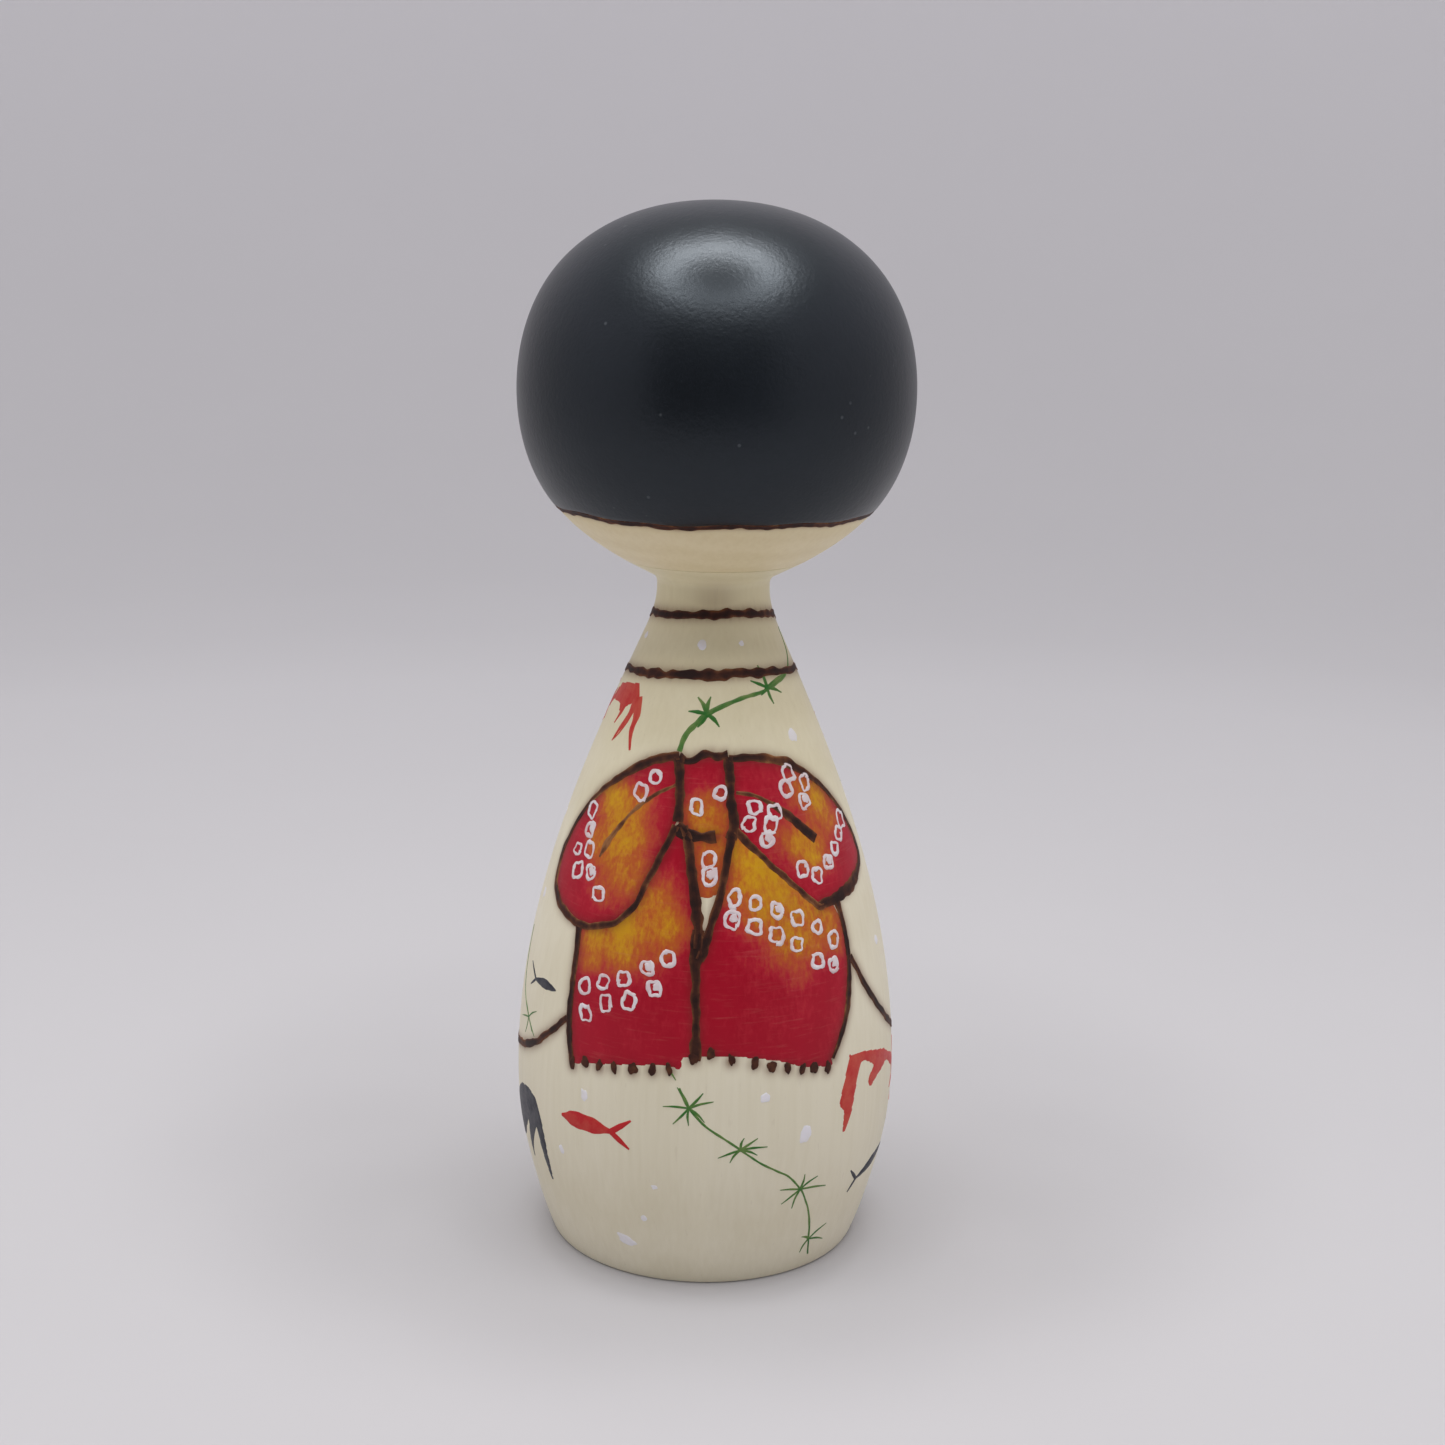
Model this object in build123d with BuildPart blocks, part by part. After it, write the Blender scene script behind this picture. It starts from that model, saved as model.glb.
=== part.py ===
"""Kokeshi doll: turned wooden body, turned wooden head and the peg on which the head turns,
with the two thick paint coats, the black hair and the red sash bow, as thin skins of their own.

Millimetres, +Z up, origin at the centre of the flat base. The doll's face looks along +Y and
the bow on its back along -Y.
"""
import os

from build123d import *

os.makedirs("parts", exist_ok=True)

# ---- Driving dimensions ----
base_radius = 20.3
base_edge_round = 0.6
belly_radius = 25.0
belly_height = 23.5
neck_radius = 7.2
neck_bottom = 87.0          # the body's slope ends here
neck_top = 88.4             # the flare under the head starts here
neck_round = 1.4
seam_radius = 11.8          # the head sits on the flared neck along this circle
seam_height = 90.8
seam_edge_round = 0.12
head_radius = 24.9
head_widest = 112.3         # height of the head's equator
doll_height = 135.0

peg_radius = 4.0
peg_chamfer = 0.6
peg_in_head = 16.0
peg_in_body = 18.0
running_clearance = 0.05    # radial, between the peg and the body's bore
bore_end_room = 0.5         # left empty beyond each end of the peg

coat = 0.2                  # thickness of the hair and sash paint
hairline_height = 97.8
fringe_height = 114.5
face_half_width = 16.5
face_corner_round = 6.0


def body_outline(inset=0.0):
    """Half section of the turned body, drawn inwards of the real surface by the inset."""
    with BuildSketch(Plane.XZ) as outline:
        with BuildLine():
            slope = Spline(
                (base_radius - inset, 0),
                (22.9 - inset, 8),
                (24.6 - inset, 16),
                (belly_radius - inset, belly_height),
                (22.3 - inset, 44.5),
                (15.5 - inset, 65.5),
                (12.8 - inset, 72),
                (9.3 - inset, 80),
                (neck_radius - inset, neck_bottom),
                tangents=((0.42, 1), (0, 1)),
            )
            Polyline(
                slope @ 1,
                (neck_radius - inset, neck_top),
                (seam_radius - inset, seam_height),
                (0, seam_height),
                (0, 0),
                slope @ 0,
            )
        make_face()
        corners = outline.vertices()
        fillet(corners.sort_by_distance((base_radius - inset, 0, 0))[0], base_edge_round)
        fillet(corners.sort_by_distance((neck_radius - inset, 0, neck_top))[0], neck_round)
        fillet(corners.sort_by_distance((seam_radius - inset, 0, seam_height))[0], seam_edge_round)
    return outline.sketch


def head_outline(inset=0.0):
    """Half section of the turned head, a squarish ball, drawn inwards by the inset."""
    with BuildSketch(Plane.XZ) as outline:
        with BuildLine():
            ball = Spline(
                (seam_radius, seam_height + inset),
                (16.7 - inset, 94.1),
                (20.9 - inset, 98.4),
                (head_radius - inset, head_widest),
                (20.3 - inset, 126.4),
                (12.0 - inset, 132.7 - inset),
                (0, doll_height - inset),
                tangents=((1.7, 1), (-1, 0)),
            )
            Polyline(ball @ 1, (0, seam_height + inset), ball @ 0)
        make_face()
        rim = outline.vertices().sort_by_distance((seam_radius, 0, seam_height + inset))[0]
        fillet(rim, seam_edge_round)
    return outline.sketch


# ---- Solids that only cut the paint coats to shape ----
with BuildPart() as body_core:
    add(body_outline(coat))
    revolve(axis=Axis.Z)

with BuildPart() as head_core:
    add(head_outline(coat))
    revolve(axis=Axis.Z)

with BuildPart() as hair_region:
    # Everything above the hairline, less the open window of the face and its fringe
    with BuildSketch(Plane.XY.offset(hairline_height)):
        Circle(2 * head_radius)
    extrude(amount=doll_height)
    with BuildSketch(Plane.XZ) as face_window:
        with Locations((0, hairline_height)):
            Rectangle(
                2 * face_half_width,
                2 * (fringe_height - hairline_height),
            )
        fillet(face_window.vertices().group_by(Axis.Z)[-1], face_corner_round)
    extrude(amount=-2 * head_radius, mode=Mode.SUBTRACT)    # Plane.XZ looks along -Y

with BuildPart() as bow_region:
    # The bow's outline seen square on from behind, x across the back and height up
    with BuildSketch(Plane.XZ):
        with BuildLine():
            loops = Spline(
                (-3.8, 67.8),
                (-10.5, 65.0),
                (-17.8, 58.0),
                (-19.8, 50.0),
                (-15.8, 46.4),
                tangents=((-1, 0), (1, -0.3)),
            )
            tails = Polyline(
                loops @ 1,
                (-17.2, 37.0),
                (-16.6, 29.6),
                (16.8, 29.6),
                (19.3, 37.0),
                (17.2, 49.2),
            )
            right_loop = Spline(
                tails @ 1,
                (20.9, 52.6),
                (19.6, 57.5),
                (12.0, 65.0),
                (2.2, 67.8),
                tangents=((1, 0.3), (-1, 0)),
            )
            Line(right_loop @ 1, loops @ 0)
        make_face()
    extrude(amount=2 * belly_radius)

# ---- Neck peg: turned dowel glued into the head, free to turn in the body ----
with BuildPart() as neck_peg:
    with BuildSketch(Plane.XY.offset(seam_height - peg_in_body)):
        Circle(peg_radius)
    extrude(amount=peg_in_body + peg_in_head)
    chamfer(neck_peg.edges().filter_by(GeomType.CIRCLE), peg_chamfer)
neck_peg.part.label = "neck_peg"
export_step(neck_peg.part, "parts/neck_peg.step")

# ---- Hair: black lacquer over the top, sides and back of the head ----
with BuildPart() as hair_lacquer:
    add(head_outline())
    revolve(axis=Axis.Z)
    add(head_core.part, mode=Mode.SUBTRACT)
    add(hair_region.part, mode=Mode.INTERSECT)
hair_lacquer.part.label = "hair_lacquer"
export_step(hair_lacquer.part, "parts/hair_lacquer.step")

# ---- Sash bow: red and gold paint on the back of the body ----
with BuildPart() as sash_bow_paint:
    add(body_outline())
    revolve(axis=Axis.Z)
    add(body_core.part, mode=Mode.SUBTRACT)
    add(bow_region.part, mode=Mode.INTERSECT)
sash_bow_paint.part.label = "sash_bow_paint"
export_step(sash_bow_paint.part, "parts/sash_bow_paint.step")

# ---- Head: turned wood with a blind hole for the peg ----
with BuildPart() as head:
    add(head_outline())
    revolve(axis=Axis.Z)
    add(hair_lacquer.part, mode=Mode.SUBTRACT)
    with BuildSketch(Plane.XY.offset(seam_height)):
        Circle(peg_radius)
    extrude(amount=peg_in_head + bore_end_room, mode=Mode.SUBTRACT)
head.part.label = "head"
export_step(head.part, "parts/head.step")

# ---- Body: turned wood with the neck, and the bore in which the peg turns ----
with BuildPart() as body:
    add(body_outline())
    revolve(axis=Axis.Z)
    add(sash_bow_paint.part, mode=Mode.SUBTRACT)
    with BuildSketch(Plane.XY.offset(seam_height)):
        Circle(peg_radius + running_clearance)
    extrude(amount=-(peg_in_body + bore_end_room), mode=Mode.SUBTRACT)
body.part.label = "body"
export_step(body.part, "parts/body.step")
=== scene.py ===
"""Looks of the kokeshi doll: turned and lacquered wood, black hair, a painted sash bow on the
back, a painted face and kimono front, and goldfish, waterweed and bubbles all round.

A place on the turned wood is (angle, height): the angle in degrees round the axis, 0 at the
middle of the back (-Y), 90 at +X and 180 at the face (+Y), and the height in millimetres.
"""
import math
import random

import bpy
import numpy as np
from mathutils import Matrix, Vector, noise
from mathutils.geometry import delaunay_2d_cdt
from mathutils.kdtree import KDTree


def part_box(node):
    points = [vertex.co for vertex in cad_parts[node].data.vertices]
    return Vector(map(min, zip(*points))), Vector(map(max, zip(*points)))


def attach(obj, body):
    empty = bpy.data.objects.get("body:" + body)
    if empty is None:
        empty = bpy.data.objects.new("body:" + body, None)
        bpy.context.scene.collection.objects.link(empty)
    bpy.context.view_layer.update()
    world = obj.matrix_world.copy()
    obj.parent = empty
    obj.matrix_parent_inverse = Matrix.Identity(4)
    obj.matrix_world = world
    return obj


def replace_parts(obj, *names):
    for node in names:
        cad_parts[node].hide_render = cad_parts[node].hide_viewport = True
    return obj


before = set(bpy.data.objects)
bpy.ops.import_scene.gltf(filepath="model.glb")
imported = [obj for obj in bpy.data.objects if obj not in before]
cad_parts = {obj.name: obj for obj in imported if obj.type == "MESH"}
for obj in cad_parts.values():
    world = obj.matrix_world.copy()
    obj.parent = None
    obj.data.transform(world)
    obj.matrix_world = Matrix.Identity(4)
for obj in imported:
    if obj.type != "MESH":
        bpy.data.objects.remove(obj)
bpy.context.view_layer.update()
MM = 0.001

# ---------------------------------------------------------------------------
# The turned outlines, (radius, height) in mm
# ---------------------------------------------------------------------------
BODY_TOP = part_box("body")[1][2] / MM
HEAD_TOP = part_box("hair_lacquer")[1][2] / MM
PEG_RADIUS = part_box("neck_peg")[1][0] / MM
PEG_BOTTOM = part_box("neck_peg")[0][2] / MM
PEG_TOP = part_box("neck_peg")[1][2] / MM
NECK_RADIUS = 7.2
SEAM_RADIUS = 11.8
BORE_CLEARANCE = 0.05
BORE_END_ROOM = 0.5

BODY_SLOPE = [(20.3, 0), (22.9, 8), (24.6, 16), (25.0, 23.5), (22.3, 44.5),
              (15.5, 65.5), (12.8, 72), (9.3, 80), (NECK_RADIUS, 87)]
HEAD_BALL = [(SEAM_RADIUS, BODY_TOP), (16.7, 94.1), (20.9, 98.4), (24.9, 112.3),
             (20.3, 126.4), (12.0, 132.7), (0, HEAD_TOP)]


def spline(points, start, end, step=0.25):
    """The smooth cubic through the points that leaves and ends in those directions."""
    p = np.array(points, float)
    h = np.linalg.norm(np.diff(p, axis=0), axis=1)
    n = len(p)
    m, rhs = np.eye(n), np.zeros((n, 2))
    rhs[0] = np.array(start) / np.linalg.norm(start)
    rhs[-1] = np.array(end) / np.linalg.norm(end)
    for i in range(1, n - 1):
        a, b = h[i - 1], h[i]
        m[i, i - 1:i + 2] = b, 2 * (a + b), a
        rhs[i] = 3 * (b * (p[i] - p[i - 1]) / a + a * (p[i + 1] - p[i]) / b)
    d = np.linalg.solve(m, rhs)
    out = []
    for i in range(n - 1):
        steps = max(2, round(h[i] / step))
        for t in np.arange(steps) / steps:
            out.append((2 * t**3 - 3 * t**2 + 1) * p[i] + (t**3 - 2 * t**2 + t) * h[i] * d[i]
                       + (3 * t**2 - 2 * t**3) * p[i + 1] + (t**3 - t**2) * h[i] * d[i + 1])
    return [tuple(q) for q in out] + [tuple(p[-1])]


def rounded(points, corner, radius, steps=6):
    """The outline with one of its corners, given by index, replaced by an arc."""
    a, b, c = (np.array(points[i], float) for i in (corner - 1, corner, corner + 1))
    u, v = (a - b) / np.linalg.norm(a - b), (c - b) / np.linalg.norm(c - b)
    half = math.acos(float(np.clip(u @ v, -1, 1))) / 2
    reach = radius / math.tan(half)
    centre = b + (u + v) / np.linalg.norm(u + v) * radius / math.sin(half)
    first, last = b + u * reach - centre, b + v * reach - centre
    sweep = math.pi - 2 * half
    arc = [centre + (math.sin(sweep * (1 - k / steps)) * first
                     + math.sin(sweep * k / steps) * last) / math.sin(sweep)
           for k in range(steps + 1)]
    return [*points[:corner], *[tuple(q) for q in arc], *points[corner + 1:]]


def body_outside():
    """The body's outer outline, from the edge of the base up to the seam under the head."""
    base_round, neck_round, seam_round = 0.6, 1.4, 0.12
    neck = rounded([(NECK_RADIUS, 87.1), (NECK_RADIUS, 88.4), (SEAM_RADIUS, BODY_TOP)],
                   1, neck_round, steps=10)
    rim = rounded([neck[-2], neck[-1], (PEG_RADIUS, BODY_TOP)], 1, seam_round)[:-1]
    slope = spline(BODY_SLOPE, (0.42, 1), (0, 1))
    foot = rounded([(0, 0), slope[0], slope[6]], 1, base_round)[1:-1]
    return foot + slope[6:] + neck[:-2] + rim


def head_outside():
    """The head's outer outline, from its seam up to the crown."""
    ball = spline(HEAD_BALL, (1.7, 1), (-1, 0))
    return rounded([(PEG_RADIUS, BODY_TOP), ball[0], ball[4]], 1, 0.12)[1:-1] + ball[4:]


class Surface:
    """The outside of one turned piece, with places on it."""

    def __init__(self, outline):
        self.outline = outline
        rising = [q for i, q in enumerate(outline) if i == 0 or q[1] > outline[i - 1][1] + 1e-6]
        self.r, self.z = np.array(rising).T
        self.slope = np.gradient(self.r, self.z)

    def shape(self, z):
        """Radius, and the length along the surface of one millimetre of height."""
        slope = np.interp(z, self.z, self.slope)
        return np.interp(z, self.z, self.r), np.sqrt(1 + slope**2)

    def points(self, places, lift=0.0):
        """The places as points in metres, lifted off the surface by that many mm."""
        places = np.asarray(places, float)
        angle, z = np.radians(places[..., 0]), places[..., 1]
        r, slope = np.interp(z, self.z, self.r), np.interp(z, self.z, self.slope)
        n = 1 / np.sqrt(1 + slope**2)
        out = r + lift * n
        return np.stack([out * np.sin(angle), -out * np.cos(angle), z - lift * slope * n], -1) * MM

    def shift(self, places, u, v):
        """The places moved by u mm round the piece and v mm up along its surface."""
        places = np.asarray(places, float)
        r, stretch = self.shape(places[..., 1])
        return np.stack([places[..., 0] + np.degrees(u / r), places[..., 1] + v / stretch], -1)

    def smooth(self, points, closed=False, step=0.3):
        """Places every step mm along a smooth curve through the given places."""
        p = np.array(points, float)
        if closed:
            p = np.vstack([p[-1], p, p[:2]])
        else:
            p = np.vstack([2 * p[0] - p[1], p, 2 * p[-1] - p[-2]])
        t = (np.arange(12) / 12)[:, None]
        fine = [0.5 * (2 * b + (c - a) * t + (2 * a - 5 * b + 4 * c - d) * t**2
                       + (3 * b - a - 3 * c + d) * t**3)
                for a, b, c, d in zip(p, p[1:], p[2:], p[3:])]
        fine = np.vstack(fine + [p[-2:-1]])
        r, stretch = self.shape((fine[1:, 1] + fine[:-1, 1]) / 2)
        gap = np.diff(fine, axis=0)
        run = np.concatenate([[0], np.cumsum(np.hypot(np.radians(gap[:, 0]) * r, gap[:, 1] * stretch))])
        s = np.linspace(0, run[-1], max(3, round(run[-1] / step) + 1))
        return np.stack([np.interp(s, run, fine[:, k]) for k in (0, 1)], -1)


BODY = Surface(body_outside())
HEAD = Surface(head_outside())

# ---------------------------------------------------------------------------
# Meshes
# ---------------------------------------------------------------------------
burned = {BODY: [], HEAD: []}       # points along the burned lines, which scorch the wood by them


def scorch_of(surface, points, reach=0.95):
    """How scorched each point is, from 0 to 1, by its distance from the burned lines."""
    tree = KDTree(len(burned[surface]))
    for i, q in enumerate(burned[surface]):
        tree.insert(q, i)
    tree.balance()
    distance = np.array([tree.find(q)[2] for q in points]) / MM
    return np.exp(-((distance / reach) ** 2))


def mesh_piece(name, points, faces, material, body, slot, **attributes):
    """A smooth mesh object with its material, its body and its vertex values. The slot is not used."""
    mesh = bpy.data.meshes.new(name)
    mesh.from_pydata([tuple(q) for q in points], [], [tuple(f) for f in faces])
    for key, values in attributes.items():
        layer = mesh.attributes.new(key, "FLOAT", "POINT")
        layer.data.foreach_set("value", np.asarray(values, np.float32))
    mesh.validate()
    mesh.shade_smooth()
    mesh.set_sharp_from_angle(angle=math.radians(50))
    mesh.materials.append(material)
    piece = bpy.data.objects.new(name, mesh)
    bpy.context.scene.collection.objects.link(piece)
    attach(piece, body)
    return piece


def turned(section, segments):
    """Points and faces of a half section, given from axis to axis, turned round the axis."""
    points, rows = [], []
    for r, z in section:
        if r < 1e-6:
            rows.append([len(points)] * segments)
            points.append((0, 0, z * MM))
            continue
        rows.append(list(range(len(points), len(points) + segments)))
        for k in range(segments):
            a = 2 * math.pi * k / segments
            points.append((r * math.sin(a) * MM, -r * math.cos(a) * MM, z * MM))
    faces = []
    for low, high in zip(rows, rows[1:]):
        for k in range(segments):
            j = (k + 1) % segments
            corners = [low[k], low[j], high[j], high[k]]
            faces.append(list(dict.fromkeys(corners)))
    return points, faces


BRUSH = ((-1, None), (-0.7, 0.75), (0, 1), (0.7, 0.75), (1, None))
BURN = ((-1, None), (-0.8, 0.8), (-0.55, 1), (-0.25, 0.55), (0.25, 0.55), (0.55, 1), (0.8, 0.8),
        (1, None))
SUNK = -0.03                        # mm, where the edge and the underside of a stroke lie


class Drawing:
    """Thin closed shapes drawn on a turned surface, which become one piece."""

    def __init__(self, surface, thick, above=0.0):
        self.surface, self.thick, self.above = surface, thick, above
        self.places, self.lifts, self.faces, self.tones = [], [], [], []

    def add(self, places, lifts, faces, tones):
        first = sum(len(p) for p in self.places)
        self.places.append(np.asarray(places, float))
        self.lifts.append(np.asarray(lifts, float))
        self.tones.append(np.asarray(tones, float))
        self.faces += [[first + i for i in f] for f in faces]

    def top(self, share):
        """The lift of a point on the paint, at that share of its thickness."""
        return SUNK if share is None else self.above + share * self.thick

    def stroke(self, path, width, closed=False, section=BRUSH, tone=(1, 1), knobble=0.0,
               wobble=0.0, seed=0.0, pitch=1.1):
        """A stroke of that width, or of widths spread along it. Knobble varies its width and
        wobble its line, pitch mm apart. Tone is at its edges and at its middle."""
        path = np.asarray(path, float)
        n = len(path)
        s = np.linspace(0, 1, n)
        ahead = np.roll(path, -1, 0) - np.roll(path, 1, 0)
        if not closed:
            ahead[0], ahead[-1] = path[1] - path[0], path[-1] - path[-2]
        r, stretch = self.surface.shape(path[:, 1])
        run = np.stack([np.radians(ahead[:, 0]) * r, ahead[:, 1] * stretch], -1)
        length = np.linalg.norm(run, axis=1, keepdims=True)
        side = np.stack([-run[:, 1], run[:, 0]], -1) / np.maximum(length, 1e-9)
        along = np.cumsum(length[:, 0]) / 2
        wave = np.array([noise.noise((a / pitch, seed, 0.3)) for a in along])
        sway = np.array([noise.noise((a / pitch / 1.7, seed, 7.7)) for a in along])
        patchy = np.array([noise.noise((a / 4, seed, 3.1)) for a in along])
        if closed:
            fade = np.clip(np.minimum(s, 1 - s) * 12, 0, 1)
            wave, sway = wave * fade, sway * fade
        half = np.interp(s, np.linspace(0, 1, np.size(width)), np.atleast_1d(width)) / 2
        half = half * (1 + 1.6 * knobble * wave)
        places, lifts, tones, m = [], [], [], len(section) + 1
        for across, share in section:
            off = side * (half * across + wobble * sway * 1.6)[:, None]
            places.append(self.surface.shift(path, off[:, 0], off[:, 1]))
            lifts.append(np.full(n, self.top(share)))
            level = tone[0] + (tone[1] - tone[0]) * (1 - abs(across))
            tones.append(np.full(n, level) + 0.25 * knobble * wave + 0.5 * patchy)
        places.append(path)
        lifts.append(np.full(n, 2 * SUNK))
        tones.append(np.full(n, tone[0]))
        loops = n if closed else n - 1
        faces = [(j * n + i, k * n + i, k * n + (i + 1) % n, j * n + (i + 1) % n)
                 for j, k in ((j, (j + 1) % m) for j in range(m)) for i in range(loops)]
        if not closed:
            faces += [[j * n for j in reversed(range(m))], [j * n + n - 1 for j in range(m)]]
        self.add(np.vstack(places), np.concatenate(lifts), faces, np.concatenate(tones))

    def disc(self, place, wide, tall, tilt=0.0, uneven=0.1, tone=1.0, seed=0.0, corners=18):
        """A rounded dab of paint, wide by tall mm, turned by tilt degrees."""
        rows = ((0.55, 1), (0.85, 0.8), (1, None))
        places, lifts = [self.surface.shift(place, 0, 0)], [self.top(1)]
        c, s = math.cos(math.radians(tilt)), math.sin(math.radians(tilt))
        for share, height in rows:
            for k in range(corners):
                a = 2 * math.pi * k / corners
                rough = 1 + uneven * 1.6 * noise.noise((math.cos(a) * 1.3, math.sin(a) * 1.3, seed))
                u, v = wide / 2 * share * rough * math.cos(a), tall / 2 * share * rough * math.sin(a)
                places.append(self.surface.shift(place, c * u - s * v, s * u + c * v))
                lifts.append(self.top(height))
        places.append(places[0])
        lifts.append(2 * SUNK)
        faces, last = [], len(places) - 1
        for k in range(corners):
            j = (k + 1) % corners
            faces.append((0, 1 + k, 1 + j))
            for row in range(len(rows) - 1):
                a, b = 1 + row * corners, 1 + (row + 1) * corners
                faces.append((a + k, b + k, b + j, a + j))
            outer = 1 + (len(rows) - 1) * corners
            faces.append((outer + j, outer + k, last))
        self.add(places, lifts, faces, np.full(len(places), tone))

    def patch(self, outline, tone_at, cell=0.5, edge=0.25):
        """Paint inside an outline. tone_at gives its tone at (angle, height)."""
        outline = np.asarray(outline, float)
        r = float(np.mean(self.surface.shape(outline[:, 1])[0]))
        flat = np.stack([np.radians(outline[:, 0]) * r, outline[:, 1]], -1)
        low, high = flat.min(0), flat.max(0)
        x, y = np.meshgrid(np.arange(low[0], high[0], cell), np.arange(low[1], high[1], cell * 0.87))
        x = x + (np.arange(len(x)) % 2)[:, None] * cell / 2
        grid = np.stack([x.ravel(), y.ravel()], -1)
        inside = np.zeros(len(grid), bool)
        for a, b in zip(flat, np.roll(flat, -1, 0)):
            crosses = (a[1] > grid[:, 1]) != (b[1] > grid[:, 1])
            with np.errstate(divide="ignore", invalid="ignore"):
                at = a[0] + (grid[:, 1] - a[1]) / (b[1] - a[1]) * (b[0] - a[0])
            inside ^= crosses & (grid[:, 0] < at)
        dense = np.vstack([flat + (np.roll(flat, -1, 0) - flat) * t for t in (0, 0.5)])
        inset = np.min(np.linalg.norm(grid[:, None] - dense[None], axis=2), axis=1)
        grid, inset = grid[inside & (inset > edge)], inset[inside & (inset > edge)]
        n = len(flat)
        result = delaunay_2d_cdt([tuple(q) for q in np.vstack([flat, grid])], [],
                                 [list(range(n))], 1, 1e-6)
        verts, _, tris, sources = result[:4]
        depth = np.concatenate([np.zeros(n), inset])
        depth = np.array([depth[s[0]] if s else 0.0 for s in sources])
        places = np.array([(math.degrees(v[0] / r), v[1]) for v in verts])
        rise = np.clip(depth / (2 * edge), 0, 1)
        lifts = np.where(depth <= 0, SUNK, self.above + self.thick * (0.6 + 0.4 * rise))
        k = len(places)
        sides = {(a, b) for f in tris for a, b in zip(f, [*f[1:], f[0]])}
        rim = sorted(side for side in sides if side[::-1] not in sides)
        faces = [list(f) for f in tris] + [[i + k for i in reversed(f)] for f in tris]
        faces += [(b, a, a + k, b + k) for a, b in rim]
        tone = [tone_at(*q) for q in places]
        self.add(np.vstack([places, places]), np.concatenate([lifts, np.full(k, 2 * SUNK)]),
                 faces, np.array(tone + tone))

    def line(self, points, width, **how):
        """A stroke along the smooth curve through the points."""
        self.stroke(self.surface.smooth(points), width, **how)

    def piece(self, name, material, body, slot, scorched=False):
        """The drawing as one mesh piece."""
        points = np.vstack([self.surface.points(p, lift) for p, lift in zip(self.places, self.lifts)])
        extra = {"scorch": scorch_of(self.surface, points)} if scorched else {}
        return mesh_piece(name, points, self.faces, material, body, slot,
                          tone=np.concatenate(self.tones), **extra)


# ---------------------------------------------------------------------------
# Materials
# ---------------------------------------------------------------------------
def linear(red, green, blue):
    """A colour given in sRGB from 0 to 255, as linear RGBA."""
    return (*[(c / 255 / 12.92 if c <= 10 else ((c / 255 + 0.055) / 1.055) ** 2.4)
              for c in (red, green, blue)], 1)


class Shader:
    """One material and short calls to add nodes to it."""

    def __init__(self, name, roughness, coat=0.0, coat_roughness=0.2, specular=0.5):
        self.material = bpy.data.materials.new(name)
        self.material.use_nodes = True
        self.tree = self.material.node_tree
        self.bsdf = self.tree.nodes["Principled BSDF"]
        for key, value in (("Roughness", roughness), ("Coat Weight", coat),
                           ("Coat Roughness", coat_roughness), ("Specular IOR Level", specular)):
            self.bsdf.inputs[key].default_value = value

    def put(self, socket, value):
        if isinstance(value, bpy.types.NodeSocket):
            self.tree.links.new(value, socket)
        else:
            socket.default_value = value

    def node(self, kind, inputs=None, **settings):
        made = self.tree.nodes.new("ShaderNode" + kind)
        for key, value in settings.items():
            setattr(made, key, value)
        for key, value in (inputs or {}).items():
            self.put(made.inputs[key], value)
        return made

    def coords(self, scale, turn=(0, 0, 0)):
        place = self.node("TexCoord").outputs["Object"]
        return self.node("Mapping", {"Vector": place, "Scale": scale, "Rotation": turn}).outputs[0]

    def noise(self, scale, detail=3.0, roughness=0.5, turn=(0, 0, 0)):
        """Noise with features about 1/scale metres along each axis."""
        return self.node("TexNoise", {"Vector": self.coords(scale, turn), "Scale": 1.0,
                                      "Detail": detail, "Roughness": roughness}).outputs["Fac"]

    def spread(self, value, low, high, to_low=0.0, to_high=1.0):
        """The value from low..high mapped to to_low..to_high and kept inside them."""
        return self.node("MapRange", {"Value": value, "From Min": low, "From Max": high,
                                      "To Min": to_low, "To Max": to_high}).outputs["Result"]

    def math(self, operation, a, b=0.0, clamp=False):
        made = self.node("Math", {0: a, 1: b}, operation=operation)
        made.use_clamp = clamp
        return made.outputs[0]

    def mix(self, share, a, b, blend="MIX"):
        made = self.node("Mix", data_type="RGBA", blend_type=blend)
        for socket, value in ((made.inputs["Factor"], share), (made.inputs[6], a), (made.inputs[7], b)):
            self.put(socket, value)
        return made.outputs[2]

    def value(self, name):
        """A vertex value of the mesh."""
        return self.node("Attribute", attribute_name=name).outputs["Fac"]

    def ramp(self, value, *stops):
        made = self.node("ValToRGB", {"Fac": value})
        while len(made.color_ramp.elements) < len(stops):
            made.color_ramp.elements.new(0.5)
        for element, (at, colour) in zip(made.color_ramp.elements, stops):
            element.position, element.color = at, colour
        return made.outputs["Color"]

    def bump(self, height, depth):
        """Bumps of that depth in metres."""
        made = self.node("Bump", {"Height": height, "Distance": depth, "Strength": 1.0})
        self.put(self.bsdf.inputs["Normal"], made.outputs["Normal"])

    def colour(self, value):
        self.put(self.bsdf.inputs["Base Color"], value)

    def roughness(self, value):
        self.put(self.bsdf.inputs["Roughness"], value)


# Brown of the scorch beside the burned lines, also used for the painted shade at the nape
SCORCH_AND_SHADE_BROWN = linear(120, 72, 36)
BLUSH = linear(224, 128, 112)
AGED = linear(250, 247, 232)          # the wood is a little yellower towards the neck


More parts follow.
